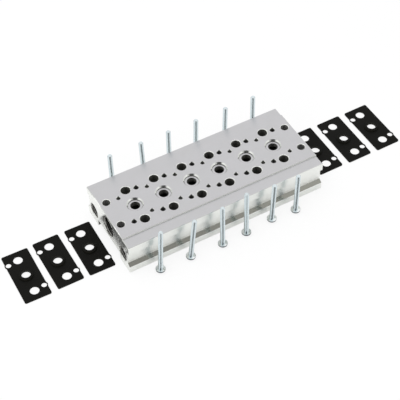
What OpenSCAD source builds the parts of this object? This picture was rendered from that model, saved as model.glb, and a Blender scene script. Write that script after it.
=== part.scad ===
// Valve manifold kit: a drilled aluminium block for six valves, laid out on a
// table with the gaskets and the valve screws that go on it.
// Millimetres. X runs along the block, Y to its back, Z up from the table.
// The origin is on the table, under the middle of the block.

/* [Block] */
// Length of the block
block_length = 132.4; // [120:0.1:180]
// Height from the table to the valve seat
block_height = 23.5; // [22:0.1:30]
// Width of the raised valve seat
seat_width = 39.4; // [36:0.1:44]
// Width over the two side strips
strip_width = 54.7; // [52:0.1:64]
// Depth of the side strips below the valve seat
strip_drop = 1; // [0.4:0.1:2]
// Width over the two feet
foot_width = 55; // [52:0.1:64]
// Small bevel on the ends of the top faces
end_bevel = 0.35; // [0.1:0.05:0.8]

/* [Side profile] */
// Height of the upright rim under each side strip
rim_height = 5.5; // [3:0.1:8]
// Depth of the groove in each side, below the rim
waist_depth = 2.1; // [1:0.1:3]
// Height of the groove's lower end above the table
waist_low = 7.2; // [6.8:0.1:9]
// Height of the foot's outer face
foot_face = 5.5; // [3:0.1:6.5]
// Bevel along the foot's lower edge
foot_bevel = 0.7; // [0.2:0.1:1.2]
// Bevel along the outer edge of each strip
strip_edge = 0.2; // [0.1:0.05:0.8]

/* [Underside] */
// Width of the channel between the feet
channel_width = 29.4; // [24:0.1:32]
// Depth of the channel
channel_depth = 5.5; // [3:0.1:6.5]

/* [Stations] */
// Distance from one valve to the next
station_pitch = 19; // [18:0.1:22]
// Distance of the two outer ports from the middle line
port_offset = 12.55; // [12:0.05:13]
// Bore of the ports
port_bore = 6; // [5:0.1:6.4]
// Diameter of the seat for the gasket's collar
collar_seat_bore = 8.8; // [8:0.1:10]
// Depth of the seat for the gasket's collar
collar_seat_depth = 1.3; // [1:0.1:2]
// Bevel that leads the collar into its seat
collar_seat_bevel = 0.8; // [0.2:0.05:0.9]
// Distance of a valve screw hole from its port, along the block
screw_hole_x = 6.5; // [5.8:0.1:7]
// Distance of a valve screw hole from the middle line
screw_hole_y = 11.4; // [10.8:0.1:11.8]
// Depth of the threaded holes for the valve screws
screw_hole_depth = 9; // [6:0.5:10]
// Distance of a locating hole from its port, along the block
locating_x = 6.5; // [5.8:0.1:7]
// Distance of a locating hole from the middle line
locating_y = 9; // [8.4:0.1:9.4]
// Bore of the locating holes
locating_bore = 2.4; // [2:0.05:2.6]
// Depth of the locating holes
locating_depth = 3; // [1:0.5:4]

/* [Fixing holes] */
// Distance of the fixing holes from the block's ends
fixing_inset = 4.45; // [4:0.05:5]
// Distance between the fixing holes across the block
fixing_spacing = 19.1; // [18.8:0.1:20]
// Bore of the fixing holes
fixing_bore = 4.8; // [4.2:0.1:5]

/* [Galleries] */
// Bore of the supply gallery
supply_bore = 11.4; // [8:0.1:11.8]
// Bore of the threaded supply ports
supply_port_bore = 13.2; // [12:0.1:13.4]
// Length of the threaded supply ports
supply_port_length = 12; // [8:0.5:14]
// Depth of the supply gallery below the valve seat
supply_depth = 9.6; // [9.4:0.1:10]
// Bore of the exhaust galleries
exhaust_bore = 8.4; // [7:0.1:8.6]
// Bore of the threaded exhaust ports
exhaust_port_bore = 9.2; // [8.8:0.1:9.4]
// Length of the threaded exhaust ports
exhaust_port_length = 9; // [6:0.5:12]
// Distance of the exhaust galleries from the middle line
exhaust_offset = 18.8; // [18.4:0.1:19]
// Depth of the exhaust galleries below the valve seat
exhaust_depth = 13.9; // [13:0.1:14.2]

/* [Gaskets] */
// Width of a gasket along the block
gasket_width = 16.7; // [15:0.1:18]
// Length of a gasket across the block
gasket_length = 37.6; // [34:0.1:40]
// Thickness of the gasket's sheet
gasket_sheet = 0.7; // [0.4:0.1:1.2]
// Radius of the gasket's corners
gasket_corner = 1; // [0.4:0.1:2]
// Bore of the gasket's three port holes
gasket_port_bore = 5.7; // [5:0.1:6.4]
// Radial clearance of the collar in its seat
collar_clearance = 0.2; // [0.1:0.05:0.5]
// Width of the lobe round a screw hole
lobe_wall = 0.6; // [0.4:0.1:1]

/* [Valve screws] */
// Outer diameter of the thread, on the screws and in their holes
screw_diameter = 3; // [2.5:0.1:3.2]
// Length under the head
screw_length = 30; // [24:1:36]
// Radial clearance of the screw in the gasket
screw_clearance = 0.2; // [0.1:0.05:0.4]
// Diameter of the pan head
head_diameter = 6; // [5:0.1:7]
// Height of the pan head
head_height = 2.4; // [1.8:0.1:3]
// Radius of the head's dome
head_dome = 5; // [4:0.1:8]
// Bevel at the screw's tip
tip_bevel = 0.4; // [0.2:0.05:0.6]
// Width over the cross recess
recess_width = 3; // [2:0.1:3.4]
// Depth of the cross recess
recess_depth = 1.4; // [0.8:0.1:1.8]
// Thickness of the recess's wings
recess_wing = 0.6; // [0.4:0.05:0.8]

/* [Layout] */
// Gap from the block's left end to the nearest gasket
left_end_gap = 4.25; // [2:0.25:12]
// Gap between the gaskets on the left
left_row_gap = 3.85; // [1:0.05:10]
// Gap from the block's right end to the nearest gasket
right_end_gap = 5.85; // [2:0.25:12]
// Gap between the gaskets on the right
right_row_gap = 4.6; // [1:0.1:10]
// Gap from the front foot to the nearest screw's axis
front_gap = 6.6; // [4:0.1:12]
// Gap from the rear foot to the rear screws' axes
rear_gap = 7.2; // [4:0.1:12]

/* [Hidden] */
$fn = 64;
station_count = 6;
gasket_names = [for (i = [1:station_count]) str("gasket_", i)];
front_names = [for (i = [1:station_count]) str("screw_front_", i)];
rear_names = [for (i = [1:station_count]) str("screw_rear_", i)];

// how far a cutting solid runs past the face that it opens
over = 1;
// half of a twist drill's point angle
drill_half_angle = 59;
// bevels at the mouths of the holes
small_mouth = 0.25;
port_mouth = 0.3;
end_mouth = 0.5;
station_x = [for (i = [0:station_count - 1]) (i - (station_count - 1) / 2) * station_pitch];
strip_z = block_height - strip_drop;
waist_half = strip_width / 2 - waist_depth;
fixing_x = block_length / 2 - fixing_inset;
supply_z = block_height - supply_depth;
exhaust_z = block_height - exhaust_depth;
collar_diameter = collar_seat_bore - 2 * collar_clearance;
screw_pass_bore = screw_diameter + 2 * screw_clearance;
lobe_diameter = screw_pass_bore + 2 * lobe_wall;

// where the loose pieces lie: three gaskets past each end of the block,
// and a row of screws along each side, each stood on its head by its station
left_first = -block_length / 2 - left_end_gap - gasket_width / 2;
left_step = gasket_width + left_row_gap;
right_first = block_length / 2 + right_end_gap + gasket_width / 2;
right_step = gasket_width + right_row_gap;
gasket_x = [
    for (i = [2:-1:0]) left_first - i * left_step,
    for (i = [0:2]) right_first + i * right_step,
];
gasket_y = [1.1, 1.4, 1.1, 0.6, 0.3, 0.2];
gasket_turn = [-1.2, -0.1, -0.9, 0.3, 0.4, 0.6];
front_row_y = -foot_width / 2 - front_gap;
rear_row_y = foot_width / 2 + rear_gap;
// how far each screw stands to the right of its station, and in front of the nearest of its row
front_shift = [-2.1, -1, 0.8, -1.5, -1.9, -4.6];
front_stray = [0.2, 0.8, 1.8, 1.1, 0, 1];
rear_shift = [1.4, 4.1, 3, 2.9, 4.8, 6.3];
// degrees by which each screw leans towards +X and towards +Y
front_lean_x = [4, 5.5, 1, 3, 0.5, 0];
front_lean_y = [3, -0.5, 2.5, 6, -2, -1];
rear_lean_x = [-0.3, -1.8, 0.3, 1.2, 1.3, 0];

// half of the block's section, as points (Y, Z) from the seat down to the channel
half_section = [
    [seat_width / 2, block_height],
    [seat_width / 2, strip_z],
    [strip_width / 2 - strip_edge, strip_z],
    [strip_width / 2, strip_z - strip_edge],
    [strip_width / 2, strip_z - rim_height],
    [waist_half, strip_z - rim_height],
    [waist_half, waist_low],
    [foot_width / 2, foot_face],
    [foot_width / 2, foot_bevel],
    [foot_width / 2 - foot_bevel, 0],
    [channel_width / 2, 0],
    [channel_width / 2, channel_depth],
];
last_point = len(half_section) - 1;
mirrored_section = [for (i = [last_point:-1:0]) [-half_section[i][0], half_section[i][1]]];

// a drilled hole that opens upwards at the origin, with a pointed floor and a bevelled mouth
module drilled_hole(bore, depth, mouth) {
    point = bore / 2 / tan(drill_half_angle);
    rotate_extrude()
        polygon([
            [0, -depth - point],
            [bore / 2, -depth],
            [bore / 2, -mouth],
            [bore / 2 + mouth + over, over],
            [0, over],
        ]);
}

// a fixing hole, right through from the seat at the origin down to the channel
module fixing_hole() {
    rotate_extrude()
        polygon([
            [0, -block_height],
            [fixing_bore / 2, -block_height],
            [fixing_bore / 2, -port_mouth],
            [fixing_bore / 2 + port_mouth + over, over],
            [0, over],
        ]);
}

// the supply port of one valve, stepped for the gasket's collar
module supply_drop() {
    rotate_extrude()
        polygon([
            [0, -supply_depth],
            [port_bore / 2, -supply_depth],
            [port_bore / 2, -collar_seat_depth],
            [collar_seat_bore / 2, -collar_seat_depth],
            [collar_seat_bore / 2, -collar_seat_bevel],
            [collar_seat_bore / 2 + collar_seat_bevel + over, over],
            [0, over],
        ]);
}

// what one valve needs in the seat: three ports, two threaded holes, two locating holes
module station_holes() {
    supply_drop();
    for (side = [-1, 1]) {
        translate([0, side * port_offset, 0])
            drilled_hole(port_bore, exhaust_depth, port_mouth);
        translate([side * screw_hole_x, side * screw_hole_y, 0])
            drilled_hole(screw_diameter, screw_hole_depth, small_mouth);
        translate([side * locating_x, -side * locating_y, 0])
            drilled_hole(locating_bore, locating_depth, small_mouth);
    }
}

// a gallery along the block, wider at each end where it is threaded as a port
module gallery(bore, end_bore, end_length) {
    half = block_length / 2;
    step = half - end_length;
    rotate([0, 90, 0])
        rotate_extrude()
            polygon([
                [0, -half - over],
                [end_bore / 2 + end_mouth + over, -half - over],
                [end_bore / 2, end_mouth - half],
                [end_bore / 2, -step],
                [bore / 2, -step],
                [bore / 2, step],
                [end_bore / 2, step],
                [end_bore / 2, half - end_mouth],
                [end_bore / 2 + end_mouth + over, half + over],
                [0, half + over],
            ]);
}

// the bevels on both ends of a top face, for Y from y_low to y_high
module end_bevel_cut(face_z, y_low, y_high) {
    half = block_length / 2;
    for (end = [-1, 1])
        translate([0, y_high, 0])
            rotate([90, 0, 0])
                linear_extrude(y_high - y_low)
                    polygon([
                        [end * (half - end_bevel), face_z],
                        [end * (half + over), face_z - end_bevel - over],
                        [end * (half + over), face_z],
                    ]);
}

module manifold_block() {
    color("#C9C9CC")
        difference() {
            rotate([90, 0, 90])
                linear_extrude(block_length, center = true)
                    polygon(concat(half_section, mirrored_section));
            for (x = station_x)
                translate([x, 0, block_height])
                    station_holes();
            for (x = [-1, 1], y = [-1, 1])
                translate([x * fixing_x, y * fixing_spacing / 2, block_height])
                    fixing_hole();
            translate([0, 0, supply_z])
                gallery(supply_bore, supply_port_bore, supply_port_length);
            for (side = [-1, 1])
                translate([0, side * exhaust_offset, exhaust_z])
                    gallery(exhaust_bore, exhaust_port_bore, exhaust_port_length);
            end_bevel_cut(block_height, -seat_width / 2 - over, seat_width / 2 + over);
            end_bevel_cut(strip_z, seat_width / 2, strip_width / 2 + over);
            end_bevel_cut(strip_z, -strip_width / 2 - over, -seat_width / 2);
        }
}

// the gasket's sheet: a plate with round corners and a lobe round each screw hole
module gasket_plate() {
    corner_x = gasket_width / 2 - gasket_corner;
    corner_y = gasket_length / 2 - gasket_corner;
    translate([-corner_x, -gasket_length / 2, 0])
        cube([2 * corner_x, gasket_length, gasket_sheet]);
    translate([-gasket_width / 2, -corner_y, 0])
        cube([gasket_width, 2 * corner_y, gasket_sheet]);
    for (x = [-corner_x, corner_x], y = [-corner_y, corner_y])
        translate([x, y, 0])
            cylinder(h = gasket_sheet, r = gasket_corner);
    for (side = [-1, 1])
        translate([-side * screw_hole_x, side * screw_hole_y, 0])
            cylinder(h = gasket_sheet, d = lobe_diameter);
}

// one gasket, underside up, so that its collar stands upwards
module gasket(i) {
    top = gasket_sheet + collar_seat_depth;
    color("#20201D")
        translate([gasket_x[i], gasket_y[i], 0])
            rotate([0, 0, gasket_turn[i]])
                difference() {
                    union() {
                        gasket_plate();
                        cylinder(h = top - small_mouth, d = collar_diameter);
                        translate([0, 0, top - small_mouth])
                            cylinder(h = small_mouth, d1 = collar_diameter, d2 = collar_diameter - 2 * small_mouth);
                    }
                    for (y = [-port_offset, 0, port_offset])
                        translate([0, y, -over])
                            cylinder(h = top + 2 * over, d = gasket_port_bore);
                    for (side = [-1, 1])
                        translate([-side * screw_hole_x, side * screw_hole_y, -over])
                            cylinder(h = gasket_sheet + 2 * over, d = screw_pass_bore);
                }
}

// the cross recess, opening downwards at the origin
module cross_recess() {
    intersection() {
        cylinder(h = recess_depth, d1 = recess_width, d2 = recess_wing);
        union() {
            for (turn = [0, 90])
                rotate([0, 0, turn])
                    translate([-recess_width / 2, -recess_wing / 2, -over])
                        cube([recess_width, recess_wing, recess_depth + 2 * over]);
        }
    }
}

// one pan head screw, head down, leaning about the centre of its dome
module valve_screw(x, y, lean_x, lean_y) {
    color("#BCC5CA")
        translate([x, y, head_dome])
            rotate([-lean_y, lean_x, 0])
                translate([0, 0, -head_dome])
                    difference() {
                        union() {
                            intersection() {
                                translate([0, 0, head_dome])
                                    sphere(r = head_dome);
                                cylinder(h = head_height, d = head_diameter);
                            }
                            cylinder(h = head_height + screw_length - tip_bevel, d = screw_diameter);
                            translate([0, 0, head_height + screw_length - tip_bevel])
                                cylinder(h = tip_bevel, d1 = screw_diameter, d2 = screw_diameter - 2 * tip_bevel);
                        }
                        cross_recess();
                    }
}

manifold_block();
for (i = [0:station_count - 1]) {
    gasket(i);
    valve_screw(
            station_x[i] + front_shift[i],
            front_row_y - front_stray[i],
            front_lean_x[i],
            front_lean_y[i]
        );
    valve_screw(station_x[i] + rear_shift[i], rear_row_y, rear_lean_x[i], 0);
}
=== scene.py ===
# %% [markdown]
# # A valve manifold, laid out with its gaskets and screws
#
# The object is a drilled aluminium block that carries six small air valves. It lies on a white table with
# the loose parts that go on it: six rubber gaskets and twelve long machine screws, each stood on its head.
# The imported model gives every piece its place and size, so this lesson only adds what the solids leave
# out: the cut threads, the finish of each surface, the light and the camera.

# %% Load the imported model
import math

import bmesh
import bpy
from mathutils import Matrix, Vector


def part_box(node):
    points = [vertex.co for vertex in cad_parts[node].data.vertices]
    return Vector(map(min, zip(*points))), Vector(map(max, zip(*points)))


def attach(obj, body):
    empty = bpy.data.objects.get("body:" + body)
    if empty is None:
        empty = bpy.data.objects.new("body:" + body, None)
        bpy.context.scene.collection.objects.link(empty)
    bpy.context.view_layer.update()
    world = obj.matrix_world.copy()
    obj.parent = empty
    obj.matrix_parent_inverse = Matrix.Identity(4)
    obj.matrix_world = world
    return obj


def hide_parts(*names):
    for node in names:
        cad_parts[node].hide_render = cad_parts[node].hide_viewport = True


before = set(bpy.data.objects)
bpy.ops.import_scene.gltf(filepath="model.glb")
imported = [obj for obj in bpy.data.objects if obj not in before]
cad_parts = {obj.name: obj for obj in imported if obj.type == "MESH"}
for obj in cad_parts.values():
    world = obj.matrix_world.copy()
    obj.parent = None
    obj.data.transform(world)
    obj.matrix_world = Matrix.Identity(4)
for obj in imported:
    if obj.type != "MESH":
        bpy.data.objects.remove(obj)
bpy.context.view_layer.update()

# %% [markdown]
# Sizes are written in millimetres, because that is how such parts are drawn, and Blender's own unit here
# is the metre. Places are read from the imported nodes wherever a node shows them.

# %% Millimetres, and the boxes of the nodes
MM = 0.001
STATIONS = 6
STATION_PITCH = 19.0


def box_mm(node):
    low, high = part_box(node)
    return low / MM, high / MM


block_high = box_mm("manifold_block")[1]
BLOCK_HALF = block_high.x
SEAT_Z = block_high.z
print("block", BLOCK_HALF * 2, "long,", SEAT_Z, "high")

# %% [markdown]
# Every material below is a small graph of nodes. One helper adds a node with its settings and its links,
# and one function turns a colour as a painter writes it, in sRGB hex, into the linear values that the
# renderer works in.

# %% Colour and node helpers
def linear(hex_colour):
    channels = [int(hex_colour[i:i + 2], 16) / 255 for i in (1, 3, 5)]
    curved = [c / 12.92 if c <= 0.04045 else ((c + 0.055) / 1.055) ** 2.4 for c in channels]
    return (*curved, 1.0)


def add_node(tree, kind, settings=None, **links):
    """Adds a node of this kind. Settings are its own properties; a link is a value or a node's output."""
    node = tree.nodes.new(kind)
    for name, value in (settings or {}).items():
        setattr(node, name, value)
    for name, value in links.items():
        place = int(name[1:]) if name[1:].isdigit() else name.replace("_", " ")
        socket = node.inputs[place]
        if isinstance(value, bpy.types.NodeSocket):
            tree.links.new(value, socket)
        else:
            socket.default_value = value
    return node


def new_material(name):
    material = bpy.data.materials.new(name)
    material.use_nodes = True
    material.node_tree.nodes.clear()
    return material, material.node_tree


print("white is", linear("#FFFFFF"))

# %% [markdown]
# **The block** is bare extruded aluminium, a pale metal with a soft gloss. Its sides keep the fine lines
# of the extrusion die, which run along it, and its top has been milled flat and drilled. The ends are
# sawn and shine more.
#
# All this is one mesh, and it could be cut into pieces with a material each, but the edges would then
# have to be kept in step with the solid. Here one material tells the places apart by their position and
# by the way they face. Each function in the next cells gives a share, which is 1 in its own place and 0
# elsewhere. The first is the simplest: the mill has been wherever a face looks straight up.

# %% The milled top
# How far a face looks up is 1 for a level face and 0 for an upright one.
LEVEL_FROM = 0.9
LEVEL_FULL = 0.99


def milled_share(tree, upward):
    """1 on faces that look straight up, 0 on the others."""
    return add_node(
        tree, "ShaderNodeMapRange", {"interpolation_type": "SMOOTHSTEP"},
        Value=upward, From_Min=LEVEL_FROM, From_Max=LEVEL_FULL,
    ).outputs["Result"]


print("fully milled where a face looks up by", LEVEL_FULL)

# %% [markdown]
# The walls of the holes are darker: that is painted shade for the dark inside a deep hole. A wall stands
# upright like the block's own sides, but it lies inside the outline and starts under the bevelled mouth.

# %% Walls of the drilled holes
END_BEVEL = 0.35
DRILLED_HALF_WIDTH = 23.4
DRILLED_HALF_LENGTH = BLOCK_HALF - END_BEVEL
MOUTH_DEPTH = 0.35
COLLAR_SEAT_RADIUS = 5.2
COLLAR_SEAT_BEVEL = 0.8
SEAT_HALF_WIDTH = 19.7
STEP_FACE = SEAT_HALF_WIDTH - 0.2
BESIDE_SEAT_DROP = 8.0
WALL_FULL = 0.6
WALL_NONE = 0.9


def drilled_share(tree, place, upward):
    """1 on the walls of the holes: upright faces inside the block's outline, from under their bevels."""
    xyz = add_node(tree, "ShaderNodeSeparateXYZ", Vector=place)
    inside, sizes = [], []
    for axis, half in (("X", DRILLED_HALF_LENGTH), ("Y", DRILLED_HALF_WIDTH)):
        size = add_node(
            tree, "ShaderNodeMath", {"operation": "ABSOLUTE"}, _0=xyz.outputs[axis]
        ).outputs["Value"]
        sizes.append(size)
        inside.append(add_node(
            tree, "ShaderNodeMath", {"operation": "LESS_THAN"}, _0=size, _1=half * MM
        ).outputs["Value"])
    within = add_node(
        tree, "ShaderNodeMath", {"operation": "MULTIPLY"}, _0=inside[0], _1=inside[1]
    ).outputs["Value"]
    # The seats of the collars in the middle row have a deeper bevel, so their walls start lower.
    middle_row = add_node(
        tree, "ShaderNodeMath", {"operation": "LESS_THAN"}, _0=sizes[1], _1=COLLAR_SEAT_RADIUS * MM
    ).outputs["Value"]
    start = add_node(
        tree, "ShaderNodeMath", {"operation": "MULTIPLY_ADD"},
        _0=middle_row, _1=(MOUTH_DEPTH - COLLAR_SEAT_BEVEL) * MM, _2=(SEAT_Z - MOUTH_DEPTH) * MM,
    ).outputs["Value"]
    # Beside the seat there are no holes from above, only the step, which is left out here.
    beside_seat = add_node(
        tree, "ShaderNodeMath", {"operation": "GREATER_THAN"}, _0=sizes[1], _1=STEP_FACE * MM
    ).outputs["Value"]
    start = add_node(
        tree, "ShaderNodeMath", {"operation": "MULTIPLY_ADD"},
        _0=beside_seat, _1=-BESIDE_SEAT_DROP * MM, _2=start,
    ).outputs["Value"]
    below = add_node(
        tree, "ShaderNodeMath", {"operation": "LESS_THAN"}, _0=xyz.outputs["Z"], _1=start
    ).outputs["Value"]
    deep = add_node(tree, "ShaderNodeMath", {"operation": "MULTIPLY"}, _0=within, _1=below).outputs["Value"]
    upright = add_node(
        tree, "ShaderNodeMapRange",
        Value=upward, From_Min=WALL_FULL, From_Max=WALL_NONE, To_Min=1.0, To_Max=0.0,
    ).outputs["Result"]
    return add_node(
        tree, "ShaderNodeMath", {"operation": "MULTIPLY"}, _0=deep, _1=upright
    ).outputs["Value"]


print("drilled walls lie within", DRILLED_HALF_LENGTH, "by", DRILLED_HALF_WIDTH)

# %% [markdown]
# The floor of the groove in each long side, which slopes a little, is darker too: that is painted shade for
# the light that the overhang of the groove keeps from it. Beside the valve seat is a low step. The side of
# the milling cutter leaves it matt.

# %% The floor of the groove, and the step beside the seat
GROOVE_FLOOR_Z = 6.4
GROOVE_FLOOR_HALF = 1.2
GROOVE_LEAN = 0.3
STRIP_DROP = 1.0
STEP_FOOT = SEAT_Z - STRIP_DROP + 0.02
STEP_LEAN = 0.5


def groove_share(tree, place, upward):
    """1 on the floor of the groove in the front and rear faces."""
    xyz = add_node(tree, "ShaderNodeSeparateXYZ", Vector=place)
    low = add_node(
        tree, "ShaderNodeMath", {"operation": "COMPARE"},
        _0=xyz.outputs["Z"], _1=GROOVE_FLOOR_Z * MM, _2=GROOVE_FLOOR_HALF * MM,
    ).outputs["Value"]
    faces_up = add_node(
        tree, "ShaderNodeMath", {"operation": "GREATER_THAN"}, _0=upward, _1=GROOVE_LEAN
    ).outputs["Value"]
    return add_node(tree, "ShaderNodeMath", {"operation": "MULTIPLY"}, _0=low, _1=faces_up).outputs["Value"]


def step_share(tree, place, upward):
    """1 on the low step between the seat and the side strips."""
    xyz = add_node(tree, "ShaderNodeSeparateXYZ", Vector=place)
    high = add_node(
        tree, "ShaderNodeMath", {"operation": "GREATER_THAN"}, _0=xyz.outputs["Z"], _1=STEP_FOOT * MM
    ).outputs["Value"]
    size = add_node(
        tree, "ShaderNodeMath", {"operation": "ABSOLUTE"}, _0=xyz.outputs["Y"]
    ).outputs["Value"]
    edge = add_node(
        tree, "ShaderNodeMath", {"operation": "GREATER_THAN"}, _0=size, _1=STEP_FACE * MM
    ).outputs["Value"]
    upright = add_node(
        tree, "ShaderNodeMath", {"operation": "LESS_THAN"}, _0=upward, _1=STEP_LEAN
    ).outputs["Value"]
    share = add_node(tree, "ShaderNodeMath", {"operation": "MULTIPLY"}, _0=high, _1=edge).outputs["Value"]
    return add_node(
        tree, "ShaderNodeMath", {"operation": "MULTIPLY"}, _0=share, _1=upright
    ).outputs["Value"]


print("groove floor near", GROOVE_FLOOR_Z, "and step above", STEP_FOOT)

# %% [markdown]
# The cutters burnish the bevelled mouths of the middle row and of the small holes. These slopes mirror
# sharply, and the dark spot on each of them is the place in the room where the camera stands. The mouths
# of the big ports and the fixing holes are only broken with a file, and they are matt. The ports repeat
# at every station, so the fraction of a station's width tells where a port is.

# %% Fixing holes and bevelled mouths
FIXING_FROM_END = 4.45
FIXING_Y = 9.55
FIXING_MOUTH_X = 3.0
FIXING_MOUTH_Y = 2.8
PORT_OFFSET = 12.55
PORT_MOUTH = 3.8
SLOPE_LEAN = 0.65
SLOPE_SPREAD = 0.2


def fixing_share(tree, place):
    """1 in the four fixing holes, which go right through and let the light of the table in."""
    xyz = add_node(tree, "ShaderNodeSeparateXYZ", Vector=place)
    share = None
    for axis, middle, half in (
        ("X", BLOCK_HALF - FIXING_FROM_END, FIXING_MOUTH_X),
        ("Y", FIXING_Y, FIXING_MOUTH_Y),
    ):
        size = add_node(
            tree, "ShaderNodeMath", {"operation": "ABSOLUTE"}, _0=xyz.outputs[axis]
        ).outputs["Value"]
        near = add_node(
            tree, "ShaderNodeMath", {"operation": "COMPARE"}, _0=size, _1=middle * MM, _2=half * MM
        ).outputs["Value"]
        share = near if share is None else add_node(
            tree, "ShaderNodeMath", {"operation": "MULTIPLY"}, _0=share, _1=near
        ).outputs["Value"]
    return share


def bevel_shares(tree, place, upward):
    """Two shares: the burnished slopes, and the matt mouths of the ports and the fixing holes."""
    xyz = add_node(tree, "ShaderNodeSeparateXYZ", Vector=place)
    column = add_node(
        tree, "ShaderNodeMath", {"operation": "DIVIDE"}, _0=xyz.outputs["X"], _1=STATION_PITCH * MM
    ).outputs["Value"]
    # The fraction of a station's width is a half in its middle, whichever station it is.
    column = add_node(tree, "ShaderNodeMath", {"operation": "FRACT"}, _0=column).outputs["Value"]
    column = add_node(
        tree, "ShaderNodeMath", {"operation": "COMPARE"}, _0=column, _1=0.5, _2=PORT_MOUTH / STATION_PITCH
    ).outputs["Value"]
    row = add_node(
        tree, "ShaderNodeMath", {"operation": "ABSOLUTE"}, _0=xyz.outputs["Y"]
    ).outputs["Value"]
    row = add_node(
        tree, "ShaderNodeMath", {"operation": "COMPARE"},
        _0=row, _1=PORT_OFFSET * MM, _2=PORT_MOUTH * MM,
    ).outputs["Value"]
    port = add_node(tree, "ShaderNodeMath", {"operation": "MULTIPLY"}, _0=column, _1=row).outputs["Value"]
    big = add_node(
        tree, "ShaderNodeMath", {"operation": "MAXIMUM"}, _0=port, _1=fixing_share(tree, place)
    ).outputs["Value"]
    slope = add_node(
        tree, "ShaderNodeMath", {"operation": "COMPARE"}, _0=upward, _1=SLOPE_LEAN, _2=SLOPE_SPREAD
    ).outputs["Value"]
    matt = add_node(tree, "ShaderNodeMath", {"operation": "MULTIPLY"}, _0=slope, _1=big).outputs["Value"]
    burnished = add_node(
        tree, "ShaderNodeMath", {"operation": "SUBTRACT"}, _0=slope, _1=matt
    ).outputs["Value"]
    return burnished, matt


print("ports repeat every", STATION_PITCH)

# %% [markdown]
# The die lines that can be seen are a few tenths of a millimetre apart. They are noise that is drawn out
# more than a hundred times along the block, which leaves long, fine, uneven lines. The marks of the mill
# on the top are shorter. Both go into the roughness and the bump.

# %% Die lines and mill marks
DIE_LINE_MM = 0.3
DIE_LINE_STRETCH = 120
DIE_LINE_DETAIL = 3.0
MILL_MARK_MM = 0.4
MILL_MARK_STRETCH = 20
MILL_MARK_DETAIL = 4.0


def surface_marks(tree, place, milled):
    """Noise from 0 to 1, drawn out along the block."""
    marks = []
    for spacing, stretch, detail in (
        (DIE_LINE_MM, DIE_LINE_STRETCH, DIE_LINE_DETAIL),
        (MILL_MARK_MM, MILL_MARK_STRETCH, MILL_MARK_DETAIL),
    ):
        fine = 1 / (spacing * MM)
        drawn_out = add_node(
            tree, "ShaderNodeMapping", Vector=place, Scale=(fine / stretch, fine, fine)
        ).outputs["Vector"]
        marks.append(add_node(
            tree, "ShaderNodeTexNoise", Vector=drawn_out, Scale=1.0, Detail=detail
        ).outputs["Fac"])
    return add_node(
        tree, "ShaderNodeMix", {"data_type": "FLOAT"}, Factor=milled, _2=marks[0], _3=marks[1]
    ).outputs["Result"]


print("die lines", DIE_LINE_MM, "mm apart, mill marks", MILL_MARK_MM)

# %% [markdown]
# The pressed sides are the palest. The milled top is greyer, which is painted shade that tones the top
# down. The groove floor and the walls of the holes are darker still with painted shade, and the walls of
# the fixing holes are paler with painted light, for the light of the table that comes up through them.
# A slow mottle varies the sides and the top, as handling does.

# %% Colours of the block
MOTTLE_MM = 9.0
PRESSED_METAL = ("#EEF0EB", "#F4F5F2")
# The milled top's greyer colour is painted shade.
MILLED_METAL_SHADED = ("#CECECF", "#D4D3D6")
# Painted shade on the floor of the groove.
GROOVE_FLOOR_SHADE = "#9D9D95"
# Painted shade on the walls of the drilled holes, and painted light on those of the fixing holes.
DRILLED_WALL_SHADE = "#84847F"
FIXING_WALL_LIGHT = "#ACACAA"


def block_colour(tree, place, upward, milled, drilled):
    mottle = add_node(
        tree, "ShaderNodeTexNoise", Vector=place, Scale=1 / (MOTTLE_MM * MM), Detail=3.0, Roughness=0.6
    ).outputs["Fac"]
    pressed, cut = (
        add_node(
            tree, "ShaderNodeMix", {"data_type": "RGBA"},
            Factor=mottle, _6=linear(darker), _7=linear(lighter),
        ).outputs["Result"]
        for darker, lighter in (PRESSED_METAL, MILLED_METAL_SHADED)
    )
    # The milled top takes the greyer colour of its painted shade.
    face_colour = add_node(
        tree, "ShaderNodeMix", {"data_type": "RGBA"}, Factor=milled, _6=pressed, _7=cut
    ).outputs["Result"]
    # The floor of the groove gets its painted shade.
    face_colour = add_node(
        tree, "ShaderNodeMix", {"data_type": "RGBA"}, Factor=groove_share(tree, place, upward),
        _6=face_colour, _7=linear(GROOVE_FLOOR_SHADE),
    ).outputs["Result"]
    # The walls of the holes get painted shade, and those of the fixing holes painted light.
    wall = add_node(
        tree, "ShaderNodeMix", {"data_type": "RGBA"}, Factor=fixing_share(tree, place),
        _6=linear(DRILLED_WALL_SHADE), _7=linear(FIXING_WALL_LIGHT),
    ).outputs["Result"]
    return add_node(
        tree, "ShaderNodeMix", {"data_type": "RGBA"}, Factor=drilled, _6=face_colour, _7=wall
    ).outputs["Result"]


print("sides", PRESSED_METAL[0], "to", PRESSED_METAL[1])

# %% [markdown]
# Lines that all run one way blur what is mirrored across them and keep it sharp along them, which is why
# the screws show in the front face as upright smears. The lines are far finer than a pixel, so a bump
# can't do that: the shader's anisotropy does, with a tangent that stands square to the lines. The sawn
# ends and the burnished slopes are smoother than the pressed sides, and the drilled walls are rougher.

# %% Extruded aluminium, milled on top
MARK_DEPTH_MM = 0.02
PRESSED_ROUGHNESS = (0.28, 0.36)
SAWN_ROUGHNESS = 0.2
BURNISHED_ROUGHNESS = 0.19
DRILLED_ROUGHNESS = 0.5
PRESSED_BUMP = 0.5
MILLED_BUMP = 0.15
SAWN_BUMP = 0.1
SAWN_ENDWARD = 0.9
MATT_METALLIC = 0.2
LINE_ANISOTROPY = 0.8
# Blender's noise keeps mostly between these two values.
NOISE_LOW = 0.3
NOISE_HIGH = 0.7


def sawn_share(tree, looks):
    """1 on the two ends, 0 elsewhere."""
    endward = add_node(tree, "ShaderNodeSeparateXYZ", Vector=looks).outputs["X"]
    endward = add_node(tree, "ShaderNodeMath", {"operation": "ABSOLUTE"}, _0=endward).outputs["Value"]
    return add_node(
        tree, "ShaderNodeMath", {"operation": "GREATER_THAN"}, _0=endward, _1=SAWN_ENDWARD
    ).outputs["Value"]


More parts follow.
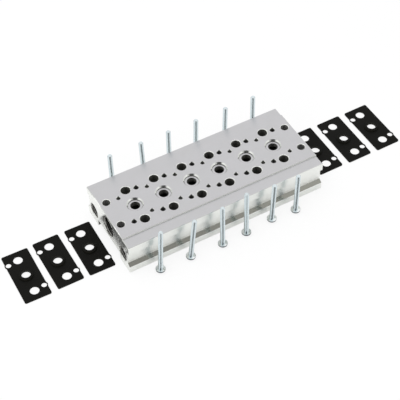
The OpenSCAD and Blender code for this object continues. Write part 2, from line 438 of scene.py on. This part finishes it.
def square_to_lines(tree, looks):
    """The direction in the surface that stands square to the length of the block."""
    across = add_node(
        tree, "ShaderNodeVectorMath", {"operation": "CROSS_PRODUCT"}, _0=looks, _1=(1, 0, 0)
    ).outputs["Vector"]
    # On the sawn ends that product is nothing, so a touch of upright is added to give it a direction.
    return add_node(
        tree, "ShaderNodeVectorMath", {"operation": "ADD"}, _0=across, _1=(0, 0, 0.001)
    ).outputs["Vector"]


def extruded_aluminium():
    material, tree = new_material("extruded aluminium, milled on top")
    place = add_node(tree, "ShaderNodeTexCoord").outputs["Object"]
    looks = add_node(tree, "ShaderNodeNewGeometry").outputs["Normal"]
    upward = add_node(tree, "ShaderNodeSeparateXYZ", Vector=looks).outputs["Z"]
    milled = milled_share(tree, upward)
    drilled = drilled_share(tree, place, upward)
    sawn = sawn_share(tree, looks)
    burnished, matt = bevel_shares(tree, place, upward)
    marks = surface_marks(tree, place, milled)
    roughness = add_node(
        tree, "ShaderNodeMapRange", Value=marks, From_Min=NOISE_LOW, From_Max=NOISE_HIGH,
        To_Min=PRESSED_ROUGHNESS[0], To_Max=PRESSED_ROUGHNESS[1],
    ).outputs["Result"]
    for share, value in (
        (sawn, SAWN_ROUGHNESS),
        (burnished, BURNISHED_ROUGHNESS),
        (drilled, DRILLED_ROUGHNESS),
    ):
        roughness = add_node(
            tree, "ShaderNodeMix", {"data_type": "FLOAT"}, Factor=share, _2=roughness, _3=value
        ).outputs["Result"]
    strength = add_node(
        tree, "ShaderNodeMix", {"data_type": "FLOAT"}, Factor=milled, _2=PRESSED_BUMP, _3=MILLED_BUMP
    ).outputs["Result"]
    strength = add_node(
        tree, "ShaderNodeMix", {"data_type": "FLOAT"}, Factor=sawn, _2=strength, _3=SAWN_BUMP
    ).outputs["Result"]
    bump = add_node(
        tree, "ShaderNodeBump", Strength=strength, Distance=MARK_DEPTH_MM * MM, Height=marks
    ).outputs["Normal"]
    matt = add_node(
        tree, "ShaderNodeMath", {"operation": "MAXIMUM"}, _0=matt, _1=step_share(tree, place, upward)
    ).outputs["Value"]
    metal = add_node(
        tree, "ShaderNodeMapRange", Value=matt, To_Min=1.0, To_Max=MATT_METALLIC
    ).outputs["Result"]
    shader = add_node(
        tree, "ShaderNodeBsdfPrincipled", Base_Color=block_colour(tree, place, upward, milled, drilled),
        Metallic=metal, Roughness=roughness, Normal=bump,
        Anisotropic=LINE_ANISOTROPY, Tangent=square_to_lines(tree, looks),
    )
    add_node(tree, "ShaderNodeOutputMaterial", Surface=shader.outputs["BSDF"])
    return material


aluminium = extruded_aluminium()
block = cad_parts["manifold_block"]
block.data.materials.clear()
block.data.materials.append(aluminium)
print("block finished")

# %% [markdown]
# **Threads.** The solids leave a screw smooth and a tapped hole plain. A real thread is one ridge wound
# round the axis like a spring, so it is made as a few strands: each strand is a helix that follows one
# corner of the ridge, and neighbouring strands are joined by faces. The last strand joins the first one
# a whole turn further on. A limit on the radius tapers the ridge away where a real one fades, and the
# ends are cut off level by holding the strands at the last height.

# %% Winding a thread
THREAD_DEPTH = 0.61


def wind_thread(shape, ridge, pitch, low, high, sides, limit):
    """A thread along Z from low to high. The ridge gives (radius, share of the pitch) at its corners."""
    turns = math.ceil((high - low) / pitch) + 2
    steps = turns * sides
    strands = []
    for radius, share in ridge:
        strand = []
        for k in range(steps + 1):
            angle = 2 * math.pi * k / sides
            z = min(high, max(low, low + pitch * (k / sides + share - 1)))
            r = limit(radius, z)
            strand.append(shape.verts.new((r * math.cos(angle), r * math.sin(angle), z)))
        strands.append(strand)
    for k in range(steps):
        for a, b in zip(strands, strands[1:]):
            shape.faces.new((a[k], a[k + 1], b[k + 1], b[k]))
        if k + sides < steps:
            a, b = strands[-1], strands[0]
            shape.faces.new((a[k], a[k + 1], b[k + 1 + sides], b[k + sides]))
    bmesh.ops.remove_doubles(shape, verts=shape.verts, dist=1e-5)
    bmesh.ops.dissolve_degenerate(shape, dist=1e-6, edges=shape.edges)


def to_object(shape, name, material, smooth_below):
    """Turns a bmesh in millimetres into an object in metres, smooth where its faces meet below an angle."""
    bmesh.ops.scale(shape, vec=(MM, MM, MM), verts=shape.verts)
    mesh = bpy.data.meshes.new(name)
    shape.to_mesh(mesh)
    shape.free()
    piece = bpy.data.objects.new(name, mesh)
    bpy.context.scene.collection.objects.link(piece)
    mesh.materials.append(material)
    mesh.shade_smooth()
    mesh.set_sharp_from_angle(angle=math.radians(smooth_below))
    return piece


print("threads are wound from strands")

# %% [markdown]
# A thread inside a hole is cut by a tap. It is wound in the same way, with its ridge towards the axis
# and its faces turned inwards, and it fades at its mouth, where the hole is bevelled.

# %% One tapped thread
TAPPED_SMOOTH_BELOW = 35
MOUTH_TAPER = 1.2


def tapped_thread(name, bore_radius, pitch, length, sides, finish):
    """The ridge of an inside thread, from 0 down to length along -Z. It fades at its mouth."""
    crest = bore_radius - THREAD_DEPTH * pitch
    ridge = ((bore_radius, 0.0), (crest, 0.38), (crest, 0.6), (bore_radius, 0.98))
    shape = bmesh.new()

    def limit(radius, z):
        open_mouth = crest + max(0.0, z + pitch) * MOUTH_TAPER
        return min(bore_radius, max(radius, open_mouth))

    wind_thread(shape, ridge, pitch, -length, 0.0, sides, limit)
    bmesh.ops.reverse_faces(shape, faces=shape.faces)
    return to_object(shape, name, finish, TAPPED_SMOOTH_BELOW)


print("tapped threads open out by", MOUTH_TAPER, "mm for each mm")

# %% [markdown]
# The small blind holes are nearly black, and the end ports are dark past their first turn, which keeps the
# colour of the metal: that darkness is painted shade, for the dark deep inside a tapped hole. The dark
# colours vary in patches about a millimetre wide.

# %% Tapped aluminium, with painted shade inside the holes
TAPPED_PATCH_MM = 1.2
SHADE_FULL_DEPTH_MM = 1.3
SHADE_NONE_DEPTH_MM = 0.3
TAPPED_ROUGHNESS = (0.4, 0.55)


def tapped_aluminium(name, darker, lighter, mouth):
    """Painted shade in patches between the two colours, which by the mouth give way to a third."""
    material, tree = new_material(name)
    place = add_node(tree, "ShaderNodeTexCoord").outputs["Object"]
    patch_noise = add_node(
        tree, "ShaderNodeTexNoise", Vector=place, Scale=1 / (TAPPED_PATCH_MM * MM), Detail=2.0
    ).outputs["Fac"]
    colour = add_node(
        tree, "ShaderNodeMix", {"data_type": "RGBA"}, Factor=patch_noise, _6=linear(darker), _7=linear(lighter)
    ).outputs["Result"]
    # Near the mouth the painted shade gives way to the mouth's colour.
    height = add_node(tree, "ShaderNodeSeparateXYZ", Vector=place).outputs["Z"]
    outer = add_node(
        tree, "ShaderNodeMapRange", Value=height, From_Min=-SHADE_FULL_DEPTH_MM * MM, From_Max=-SHADE_NONE_DEPTH_MM * MM
    ).outputs["Result"]
    colour = add_node(
        tree, "ShaderNodeMix", {"data_type": "RGBA"}, Factor=outer, _6=colour, _7=linear(mouth)
    ).outputs["Result"]
    roughness = add_node(
        tree, "ShaderNodeMapRange", Value=patch_noise, From_Min=NOISE_LOW, From_Max=NOISE_HIGH,
        To_Min=TAPPED_ROUGHNESS[0], To_Max=TAPPED_ROUGHNESS[1],
    ).outputs["Result"]
    shader = add_node(
        tree, "ShaderNodeBsdfPrincipled", Base_Color=colour, Metallic=1.0, Roughness=roughness
    )
    add_node(tree, "ShaderNodeOutputMaterial", Surface=shader.outputs["BSDF"])
    return material


# Both materials paint shade inside the holes; the ports keep the metal's colour at the mouth.
small_hole_shade = tapped_aluminium("tapped aluminium, painted shade", "#3E3E3C", "#525250", "#484846")
port_shade = tapped_aluminium("tapped aluminium, painted shade past the mouth", "#4A4946", "#5A5956", "#E0DFDB")
print("made:", small_hole_shade.name, "and", port_shade.name)

# %% [markdown]
# Every tapped hole in the block gets its thread as a piece of its own, inside the plain bore of the solid.
# The screw holes are M3, with 0.5 mm from ridge to ridge. The six ports in the ends are pipe threads, a
# quarter inch for the supply in the middle and an eighth of an inch for the two exhausts beside it.

# %% Threads in the block
RADIUS_M3 = 1.5
PITCH_M3 = 0.5
SCREW_HOLE_SIDES = 20
SCREW_HOLE_BEVEL = 0.3
SCREW_HOLE_DEPTH = 8.6
SCREW_HOLES = ((6.5, 11.4), (-6.5, -11.4))
PORT_SIDES = 48
# Each port has a name, its place across and up, and the radius, pitch and depth of its thread.
END_PORTS = (
    ("supply", 0.0, SEAT_Z - 9.6, 6.6, 1.337, 11.4),
    ("front_exhaust", -18.8, SEAT_Z - 13.9, 4.6, 0.907, 8.4),
    ("rear_exhaust", 18.8, SEAT_Z - 13.9, 4.6, 0.907, 8.4),
)

count = 0
for i in range(STATIONS):
    middle = (i - (STATIONS - 1) / 2) * STATION_PITCH
    for row, (x, y) in zip(("rear", "front"), SCREW_HOLES):
        name = f"screw_hole_thread_{row}_{i + 1}"
        thread = tapped_thread(name, RADIUS_M3, PITCH_M3, SCREW_HOLE_DEPTH, SCREW_HOLE_SIDES, small_hole_shade)
        thread.matrix_world = Matrix.Translation(Vector((middle + x, y, SEAT_Z - SCREW_HOLE_BEVEL)) * MM)
        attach(thread, "root")
        count += 1
for kind, y, z, radius, pitch, length in END_PORTS:
    for end in (-1, 1):
        side = "left" if end < 0 else "right"
        thread = tapped_thread(f"{side}_{kind}_thread", radius, pitch, length, PORT_SIDES, port_shade)
        turn = Matrix.Rotation(math.radians(90 * end), 4, "Y")
        thread.matrix_world = Matrix.Translation(Vector((end * DRILLED_HALF_LENGTH, y, z)) * MM) @ turn
        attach(thread, "root")
        count += 1
print(count, "threads in the block")

# %% [markdown]
# ** The gaskets** are compression-moulded nitrile rubber, black and nearly matt. Rubber keeps a grey bloom
# that lifts its black a little, and the mould leaves a fine grain. The edges and the walls of the collar
# are
# a shade lighter: that is a painted sheen, for the faint glint they catch. The real grain is finer than a
# tenth of a millimetre and would vanish, so it is drawn a quarter of a millimetre wide.

# %% Moulded nitrile rubber
RUBBER_GRAIN_MM = 0.25
GRAIN_DEPTH_MM = 0.03
BLOOM_MM = 5.0
RUBBER_BLACK = ("#080806", "#100F0C")
RUBBER_WALL_SHEEN = "#24231E"
RUBBER_BUMP = 0.3
RUBBER_ROUGHNESS = (0.5, 0.65)
RUBBER_SPECULAR = 0.12
SHEEN_FULL = 0.2
SHEEN_NONE = 0.9


def nitrile_rubber():
    material, tree = new_material("moulded nitrile rubber")
    place = add_node(tree, "ShaderNodeTexCoord").outputs["Object"]
    grain = add_node(
        tree, "ShaderNodeTexNoise", Vector=place, Scale=1 / (RUBBER_GRAIN_MM * MM), Detail=2.0
    ).outputs["Fac"]
    bloom = add_node(
        tree, "ShaderNodeTexNoise", Vector=place, Scale=1 / (BLOOM_MM * MM), Detail=4.0, Roughness=0.65
    ).outputs["Fac"]
    colour = add_node(
        tree, "ShaderNodeMix", {"data_type": "RGBA"},
        Factor=bloom, _6=linear(RUBBER_BLACK[0]), _7=linear(RUBBER_BLACK[1]),
    ).outputs["Result"]
    looks = add_node(tree, "ShaderNodeNewGeometry").outputs["Normal"]
    upward = add_node(tree, "ShaderNodeSeparateXYZ", Vector=looks).outputs["Z"]
    # Edges and collar walls, which stand upright, get a paler colour: a painted sheen.
    wall = add_node(
        tree, "ShaderNodeMapRange",
        Value=upward, From_Min=SHEEN_FULL, From_Max=SHEEN_NONE, To_Min=1.0, To_Max=0.0,
    ).outputs["Result"]
    colour = add_node(
        tree, "ShaderNodeMix", {"data_type": "RGBA"}, Factor=wall, _6=colour, _7=linear(RUBBER_WALL_SHEEN)
    ).outputs["Result"]
    roughness = add_node(
        tree, "ShaderNodeMapRange", Value=grain, From_Min=NOISE_LOW, From_Max=NOISE_HIGH,
        To_Min=RUBBER_ROUGHNESS[0], To_Max=RUBBER_ROUGHNESS[1],
    ).outputs["Result"]
    bump = add_node(
        tree, "ShaderNodeBump", Strength=RUBBER_BUMP, Distance=GRAIN_DEPTH_MM * MM, Height=grain
    ).outputs["Normal"]
    shader = add_node(
        tree, "ShaderNodeBsdfPrincipled", Base_Color=colour, Roughness=roughness, Normal=bump
    )
    shader.inputs["Specular IOR Level"].default_value = RUBBER_SPECULAR
    add_node(tree, "ShaderNodeOutputMaterial", Surface=shader.outputs["BSDF"])
    return material


rubber = nitrile_rubber()
for i in range(1, STATIONS + 1):
    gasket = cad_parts[f"gasket_{i}"]
    gasket.data.materials.clear()
    gasket.data.materials.append(rubber)
print("gaskets finished")

# %% [markdown]
# ** The screws** are M3 steel with a bright zinc plate, passivated with the thin clear-blue film that such
# screws are sold with. The plate is smooth, so it mirrors the table and the block, with a cold tint, and
# faint clouds over a millimetre wide vary its tint and gloss. The heads are pressed between polished dies
# and mirror more sharply than the rolled threads. The sides of the heads are given a darker colour, which
# is painted shade for the dark gap under the head that they mirror, and the face under the head a paler
# colour, which is a painted highlight for its bright ring.

# %% Zinc plate, clear-blue passivated
PLATE_CLOUD_MM = 1.5
CLOUD_DEPTH_MM = 0.01
ZINC_FILM = ("#DCE7EA", "#E7F0F3")
# A painted highlight for the bright ring under the head, and painted shade for its sides.
ZINC_RING_HIGHLIGHT = "#F4F8F9"
ZINC_RIM_SHADE = "#6E7578"
PLATE_BUMP = 0.15
SHANK_ROUGHNESS = (0.16, 0.26)
HEAD_ROUGHNESS = 0.07
HEAD_HEIGHT = 2.4
HEAD_SIDE_DROP = 0.35


def zinc_plate():
    material, tree = new_material("zinc plated steel, clear-blue passivated")
    place = add_node(tree, "ShaderNodeTexCoord").outputs["Object"]
    cloud = add_node(
        tree, "ShaderNodeTexNoise", Vector=place, Scale=1 / (PLATE_CLOUD_MM * MM), Detail=3.0
    ).outputs["Fac"]
    colour = add_node(
        tree, "ShaderNodeMix", {"data_type": "RGBA"},
        Factor=cloud, _6=linear(ZINC_FILM[0]), _7=linear(ZINC_FILM[1]),
    ).outputs["Result"]
    roughness = add_node(
        tree, "ShaderNodeMapRange", Value=cloud, From_Min=NOISE_LOW, From_Max=NOISE_HIGH,
        To_Min=SHANK_ROUGHNESS[0], To_Max=SHANK_ROUGHNESS[1],
    ).outputs["Result"]
    height = add_node(tree, "ShaderNodeSeparateXYZ", Vector=place).outputs["Z"]
    head = add_node(
        tree, "ShaderNodeMath", {"operation": "LESS_THAN"}, _0=height, _1=HEAD_HEIGHT * MM
    ).outputs["Value"]
    side = add_node(
        tree, "ShaderNodeMath", {"operation": "LESS_THAN"},
        _0=height, _1=(HEAD_HEIGHT - HEAD_SIDE_DROP) * MM,
    ).outputs["Value"]
    # The band under the head gets the painted highlight, and the head below it the painted shade.
    colour = add_node(
        tree, "ShaderNodeMix", {"data_type": "RGBA"}, Factor=head, _6=colour, _7=linear(ZINC_RING_HIGHLIGHT)
    ).outputs["Result"]
    colour = add_node(
        tree, "ShaderNodeMix", {"data_type": "RGBA"}, Factor=side, _6=colour, _7=linear(ZINC_RIM_SHADE)
    ).outputs["Result"]
    roughness = add_node(
        tree, "ShaderNodeMix", {"data_type": "FLOAT"}, Factor=head, _2=roughness, _3=HEAD_ROUGHNESS
    ).outputs["Result"]
    bump = add_node(
        tree, "ShaderNodeBump", Strength=PLATE_BUMP, Distance=CLOUD_DEPTH_MM * MM, Height=cloud
    ).outputs["Normal"]
    shader = add_node(
        tree, "ShaderNodeBsdfPrincipled", Base_Color=colour, Metallic=1.0, Roughness=roughness, Normal=bump
    )
    add_node(tree, "ShaderNodeOutputMaterial", Surface=shader.outputs["BSDF"])
    return material


zinc = zinc_plate()
print("plate made")

# %% [markdown]
# **One screw** is made from wire: a head is pressed at one end, and a thread is rolled along the rest. It
# is built standing on its head, as it stands on the table, and all twelve screws share the one mesh. The
# shank is the wound thread, limited by the run-out under the head and by the bevel at the tip.

# %% The shank of a pan-head machine screw
LENGTH = 30.0
RUN_OUT = 0.5
RUN_OUT_SHARE = 0.9
INTO_HEAD = 0.1
TIP_BEVEL = 0.42
SCREW_SIDES = 24


def screw_thread(shape):
    core = RADIUS_M3 - THREAD_DEPTH * PITCH_M3
    ridge = ((core, 0.0), (RADIUS_M3, 0.42), (RADIUS_M3, 0.52), (core, 0.94))
    tip = HEAD_HEIGHT + LENGTH

    def limit(radius, z):
        plain = RADIUS_M3 * RUN_OUT_SHARE if z < HEAD_HEIGHT + RUN_OUT else radius
        return min(plain, RADIUS_M3 - TIP_BEVEL + (tip - z))

    wind_thread(shape, ridge, PITCH_M3, HEAD_HEIGHT - INTO_HEAD, tip, SCREW_SIDES, limit)
    open_edges = [edge for edge in shape.edges if edge.is_boundary]
    rim = [edge for edge in open_edges if min(v.co.z for v in edge.verts) > tip - 0.01]
    bmesh.ops.contextual_create(shape, geom=rim)


print("shank", LENGTH, "long,", RADIUS_M3 * 2, "thick")

# %% [markdown]
# The head is a profile turned round the axis: a low crown, an upright side with a rounded edge, and an
# underside that slopes a little, so that it mirrors the room over the block and shows as a bright ring.

# %% The profile of the head
HEAD_SIDES = 48
HEAD_RADIUS = 3.0
HEAD_DOME = 5.0
CROWN_START = 0.02
CROWN_RADIUS = 2.12
CROWN_STEPS = 7


def turned(shape, profile, sides):
    """A profile of (radius, height) points turned round Z."""
    angles = [2 * math.pi * k / sides for k in range(sides)]
    rings = [
        [shape.verts.new((radius * math.cos(angle), radius * math.sin(angle), z)) for angle in angles]
        for radius, z in profile
    ]
    for a, b in zip(rings, rings[1:]):
        for k in range(sides):
            shape.faces.new((a[k], a[(k + 1) % sides], b[(k + 1) % sides], b[k]))
    return rings


def head_profile():
    """From the middle of the crown, out over the rim and in to the shank."""
    rim_z = HEAD_DOME - math.sqrt(HEAD_DOME ** 2 - HEAD_RADIUS ** 2)
    crown = []
    for step in range(CROWN_STEPS + 1):
        radius = CROWN_START + (CROWN_RADIUS - CROWN_START) * step / CROWN_STEPS
        crown.append((radius, HEAD_DOME - math.sqrt(HEAD_DOME ** 2 - radius ** 2)))
    shoulder = [(2.5, rim_z - 0.33), (2.83, rim_z - 0.1), (2.95, rim_z + 0.12), (2.98, rim_z + 0.5)]
    bend = [(2.98, HEAD_HEIGHT - 0.42), (HEAD_RADIUS, HEAD_HEIGHT - 0.36), (2.93, HEAD_HEIGHT - 0.27)]
    under = [(2.75, HEAD_HEIGHT - 0.26), (RADIUS_M3, HEAD_HEIGHT), (RADIUS_M3 * 0.88, HEAD_HEIGHT)]
    return crown + shoulder + bend + under


print("head", [(round(r, 2), round(z, 2)) for r, z in head_profile()][-6:])

# %% [markdown]
# A punch presses the cross recess into the crown of a real head. It could be built face by face, but it is
# simpler to cut it from the turned head with a boolean. The cutter is two crossed wedges that narrow
# towards the bottom and stand out of the crown a little, so that the cut is clean.

# %% The cross recess
RECESS_START = -0.5
RECESS_DEPTH = 1.4
RECESS_HALF_WIDE = 1.7
RECESS_HALF_DEEP = 0.4
RECESS_WING_HALF = 0.3


def recess_cutter():
    """Two crossed wedges that narrow towards the bottom of the recess."""
    shape = bmesh.new()
    side = RECESS_WING_HALF
    for turn in (0, 90):
        spin = Matrix.Rotation(math.radians(turn), 3, "Z")
        rows = []
        for z, half in ((RECESS_START, RECESS_HALF_WIDE), (RECESS_DEPTH, RECESS_HALF_DEEP)):
            corners = ((-half, -side), (half, -side), (half, side), (-half, side))
            rows.append([shape.verts.new(spin @ Vector((x, y, z))) for x, y in corners])
        low, high = rows
        shape.faces.new(low[::-1])
        shape.faces.new(high)
        for k in range(4):
            shape.faces.new((low[k], low[(k + 1) % 4], high[(k + 1) % 4], high[k]))
    mesh = bpy.data.meshes.new("recess cutter")
    shape.to_mesh(mesh)
    shape.free()
    return bpy.data.objects.new("recess cutter", mesh)


def pressed_head():
    shape = bmesh.new()
    rings = turned(shape, head_profile(), HEAD_SIDES)
    shape.faces.new(rings[0][::-1])
    shape.faces.new(rings[-1])
    bmesh.ops.recalc_face_normals(shape, faces=shape.faces)
    mesh = bpy.data.meshes.new("head blank")
    shape.to_mesh(mesh)
    shape.free()
    blank = bpy.data.objects.new("head blank", mesh)
    cutter = recess_cutter()
    for helper in (blank, cutter):
        bpy.context.scene.collection.objects.link(helper)
    cut = blank.modifiers.new("cross", "BOOLEAN")
    cut.object = cutter
    cut.solver = "EXACT"
    cut.use_self = True
    done = bpy.data.meshes.new_from_object(blank.evaluated_get(bpy.context.evaluated_depsgraph_get()))
    for helper in (blank, cutter):
        bpy.data.objects.remove(helper)
    return done


print("recess", RECESS_DEPTH, "deep")

# %% [markdown]
# The thread starts a tenth of a millimetre inside the head, so that no gap shows between the two, and
# both go into one mesh.

# %% The finished screw
SCREW_SMOOTH_BELOW = 30


def screw_mesh():
    shape = bmesh.new()
    screw_thread(shape)
    bmesh.ops.recalc_face_normals(shape, faces=shape.faces)
    shape.from_mesh(pressed_head())
    pattern = to_object(shape, "pattern_screw", zinc, SCREW_SMOOTH_BELOW)
    mesh = pattern.data
    bpy.data.objects.remove(pattern)
    return mesh


screw_pattern = screw_mesh()
print("screw:", len(screw_pattern.vertices), "points,", len(screw_pattern.polygons), "faces")

# %% [markdown]
# Each screw stands where its solid stands, with the solid's own place and leans. A screw leans by rolling
# on the crown of its head, so the middle of the crown's sphere stays at one height whatever the lean, and
# the head always touches the table. The piece then replaces the solid, and the box of each solid is
# measured against the box of its piece.

# %% Standing the twelve screws on the table
FRONT_LEAN = ((4.0, 3.0), (5.5, -0.5), (1.0, 2.5), (3.0, 6.0), (0.5, -2.0), (0.0, -1.0))
REAR_LEAN = ((-0.3, 0.0), (-1.8, 0.0), (0.3, 0.0), (1.2, 0.0), (1.3, 0.0), (0.0, 0.0))
FRONT_PLACE = ((-49.6, -34.3), (-29.5, -34.9), (-8.7, -35.9), (8.0, -35.2), (26.6, -34.1), (42.9, -35.1))
REAR_PLACE = ((-46.1, 34.7), (-24.4, 34.7), (-6.5, 34.7), (12.4, 34.7), (33.3, 34.7), (53.8, 34.7))


def stand_screw(node, place, lean):
    screw = bpy.data.objects.new(f"threaded_{node}", screw_pattern)
    bpy.context.scene.collection.objects.link(screw)
    up = Matrix.Translation(Vector((*place, HEAD_DOME)) * MM)
    lean_x = Matrix.Rotation(math.radians(lean[0]), 4, "Y")
    lean_y = Matrix.Rotation(math.radians(-lean[1]), 4, "X")
    screw.matrix_world = up @ lean_x @ lean_y @ Matrix.Translation(Vector((0, 0, -HEAD_DOME)) * MM)
    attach(screw, "root")
    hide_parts(node)
    return screw


def apart_mm(screw, node):
    """How far the lowest and highest corners of a screw's box lie from its solid's."""
    bpy.context.view_layer.update()
    points = [screw.matrix_world @ vertex.co / MM for vertex in screw.data.vertices]
    low, high = box_mm(node)
    gaps = []
    for axis in range(3):
        along = [point[axis] for point in points]
        gaps += [abs(min(along) - low[axis]), abs(max(along) - high[axis])]
    return max(gaps)


for row, places, leans in (("front", FRONT_PLACE, FRONT_LEAN), ("rear", REAR_PLACE, REAR_LEAN)):
    for i in range(STATIONS):
        node = f"screw_{row}_{i + 1}"
        screw = stand_screw(node, places[i], leans[i])
        print(node, "box apart by", round(apart_mm(screw, node), 2), "mm")

# %% [markdown]
# **The table** is a plain white sheet. The camera sees it nearly pure white, and it still takes a soft
# shadow under the parts. Lamps strong enough to whiten it would wash out the metal, so a share of plain
# emission lifts it for the camera alone, and it looks the same from every side. Metal that stands on it
# mirrors mostly the parts' own shadows and the far table, which is dimmer, so there the share is smaller.
# That gives the screws the dark line down their middle.

# %% White table
TABLE_M = 6.0
TABLE_WHITE = "#F2F2F2"
TABLE_GLOW = 0.82
MIRRORED_GLOW = 0.25


def white_table():
    material, tree = new_material("white table sheet")
    path = add_node(tree, "ShaderNodeLightPath")
    mirrored = add_node(
        tree, "ShaderNodeMath", {"operation": "MAXIMUM"},
        _0=path.outputs["Is Glossy Ray"], _1=path.outputs["Is Transmission Ray"],
    ).outputs["Value"]
    mirrored = add_node(
        tree, "ShaderNodeMath", {"operation": "MULTIPLY"}, _0=mirrored, _1=MIRRORED_GLOW
    ).outputs["Value"]
    share = add_node(
        tree, "ShaderNodeMath", {"operation": "MULTIPLY_ADD"},
        _0=path.outputs["Is Camera Ray"], _1=TABLE_GLOW, _2=mirrored,
    ).outputs["Value"]
    sheet = add_node(tree, "ShaderNodeBsdfDiffuse", Color=linear(TABLE_WHITE)).outputs["BSDF"]
    glow = add_node(tree, "ShaderNodeEmission", Color=linear("#FFFFFF"), Strength=1.0).outputs["Emission"]
    mixed = add_node(tree, "ShaderNodeMixShader", _0=share, _1=sheet, _2=glow).outputs["Shader"]
    add_node(tree, "ShaderNodeOutputMaterial", Surface=mixed)
    return material


def lay_table():
    mesh = bpy.data.meshes.new("table")
    half = TABLE_M / 2
    corners = [(-half, -half, 0), (half, -half, 0), (half, half, 0), (-half, half, 0)]
    mesh.from_pydata(corners, [], [(0, 1, 2, 3)])
    table = bpy.data.objects.new("table", mesh)
    bpy.context.scene.collection.objects.link(table)
    mesh.materials.append(white_table())
    return table


lay_table()
print("table", TABLE_M, "m across")

# %% [markdown]
# **The room** is a white light tent. It could be built from walls and lit from outside, but a world that
# is told apart by the kind of ray is quicker and has no noise: matt surfaces get one even light, the
# camera sees pure white, and metal mirrors the tent itself. Towards the front of the tent is its opening,
# which is darker, and in it is the camera's own dark place. The tent's walls are a little dimmer low down.

# %% Studio world
WORLD_LIGHT = 0.75
TENT_MIRRORED = 0.95
LOW_WALL_SHARE = 0.75
LOW_WALL_EDGE = (0.25, 0.6)
OPENING_MIRRORED = 0.6
OPENING_TOWARDS = Vector((-0.3, -0.72, 0.62)).normalized()
OPENING_EDGE = (0.752, 0.79)
LENS_SHARE = 0.05
LENS_TOWARDS = Vector((-0.316, -0.571, 0.757)).normalized()
LENS_EDGE = (0.87, 0.955)


def studio_world():
    world = bpy.data.worlds.new("studio")
    world.use_nodes = True
    tree = world.node_tree
    tree.nodes.clear()
    path = add_node(tree, "ShaderNodeLightPath")
    heading = add_node(tree, "ShaderNodeTexCoord").outputs["Generated"]
    height = add_node(tree, "ShaderNodeSeparateXYZ", Vector=heading).outputs["Z"]
    by_opening, by_lens = (
        add_node(
            tree, "ShaderNodeVectorMath", {"operation": "DOT_PRODUCT"}, _0=heading, _1=towards
        ).outputs["Value"]
        for towards in (OPENING_TOWARDS, LENS_TOWARDS)
    )
    # Each share goes from its first value to its second between the two edges.
    level = TENT_MIRRORED
    for value, edge, before, after in (
        (by_opening, OPENING_EDGE, 1.0, OPENING_MIRRORED / TENT_MIRRORED),
        (by_lens, LENS_EDGE, 1.0, LENS_SHARE),
        (height, LOW_WALL_EDGE, LOW_WALL_SHARE, 1.0),
    ):
        share = add_node(
            tree, "ShaderNodeMapRange", {"interpolation_type": "SMOOTHSTEP"},
            Value=value, From_Min=edge[0], From_Max=edge[1], To_Min=before, To_Max=after,
        ).outputs["Result"]
        level = add_node(
            tree, "ShaderNodeMath", {"operation": "MULTIPLY"}, _0=share, _1=level
        ).outputs["Value"]
    light, mirrored, white = (
        add_node(
            tree, "ShaderNodeBackground", Color=linear("#FFFFFF"), Strength=strength
        ).outputs["Background"]
        for strength in (WORLD_LIGHT, level, 1.0)
    )
    for_metal = add_node(
        tree, "ShaderNodeMixShader", _0=path.outputs["Is Glossy Ray"], _1=light, _2=mirrored
    ).outputs["Shader"]
    for_eye = add_node(
        tree, "ShaderNodeMixShader", _0=path.outputs["Is Camera Ray"], _1=for_metal, _2=white
    ).outputs["Shader"]
    add_node(tree, "ShaderNodeOutputWorld", Surface=for_eye)
    bpy.context.scene.world = world


studio_world()
print("world lights at", WORLD_LIGHT)

# %% [markdown]
# Two large round lamps add the soft shadows: one over the parts and a weaker one from the left. They are
# left out of mirrors, because a tent hides its lamps.

# %% Soft lamps
def soft_lamp(name, place, size, power):
    data = bpy.data.lights.new(name, "AREA")
    data.shape = "DISK"
    data.size = size
    data.energy = power
    lamp = bpy.data.objects.new(name, data)
    lamp.location = place
    lamp.rotation_euler = (-Vector(place)).to_track_quat("-Z", "Y").to_euler()
    lamp.visible_glossy = False
    bpy.context.scene.collection.objects.link(lamp)
    return lamp


soft_lamp("lamp_over", place=(-0.3, 0.1, 1.3), size=1.2, power=8.0)
soft_lamp("lamp_left", place=(-1.0, -0.8, 0.8), size=0.8, power=3.0)
print("two lamps")

# %% [markdown]
# **The camera** stands where the photograph was taken: it looks down at about 49 degrees from the front
# left, with a long lens, and is rolled by one degree.

# %% Camera
CAMERA_MM = (-234.4, -423.4, 561.6)
AZIMUTH = -28.55
ELEVATION = 49.26
ROLL = -1.02
FOCAL_MM = 108.5
SENSOR_MM = 36.0


def set_camera():
    data = bpy.data.cameras.new("camera")
    data.sensor_width = SENSOR_MM
    data.lens = FOCAL_MM
    camera = bpy.data.objects.new("camera", data)
    turn = Matrix.Rotation(math.radians(AZIMUTH), 4, "Z")
    tip = Matrix.Rotation(math.radians(90 - ELEVATION), 4, "X")
    roll = Matrix.Rotation(math.radians(ROLL), 4, "Z")
    camera.matrix_world = Matrix.Translation(Vector(CAMERA_MM) * MM) @ turn @ tip @ roll
    bpy.context.scene.collection.objects.link(camera)
    bpy.context.scene.camera = camera
    return camera


set_camera()
bpy.context.scene.view_settings.view_transform = "Standard"
print("camera at", CAMERA_MM)
